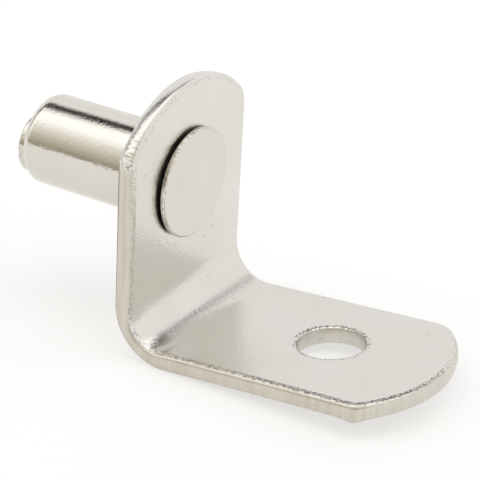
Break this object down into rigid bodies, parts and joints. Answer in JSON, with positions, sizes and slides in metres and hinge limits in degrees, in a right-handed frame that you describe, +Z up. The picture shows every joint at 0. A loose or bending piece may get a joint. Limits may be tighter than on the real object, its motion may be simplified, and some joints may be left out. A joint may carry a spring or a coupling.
{
  "type": "shelf support pin",
  "caption": "Shelf support of plated steel: an arc-ended strip folded to an L, with a screw hole in its foot and a round pin riveted through its upright leg.",
  "frame": {"origin": "on the pin's axis, on the back face of the upright leg, which bears on the cabinet's side", "axes": "-X along the pin, into the cabinet's side; +X along the foot, under the shelf; +Z up; Y across the strip"},
  "size_m": [0.0325, 0.0134, 0.0177],
  "materials": {
    "strip_nickel": "satin-bright nickel plate on rolled steel strip",
    "pin_nickel": "bright nickel plate on a turned and riveted steel pin"
  },
  "bodies": {
    "root": {"bracket": "strip_nickel", "pin": "pin_nickel"}
  },
  "joints": []
}
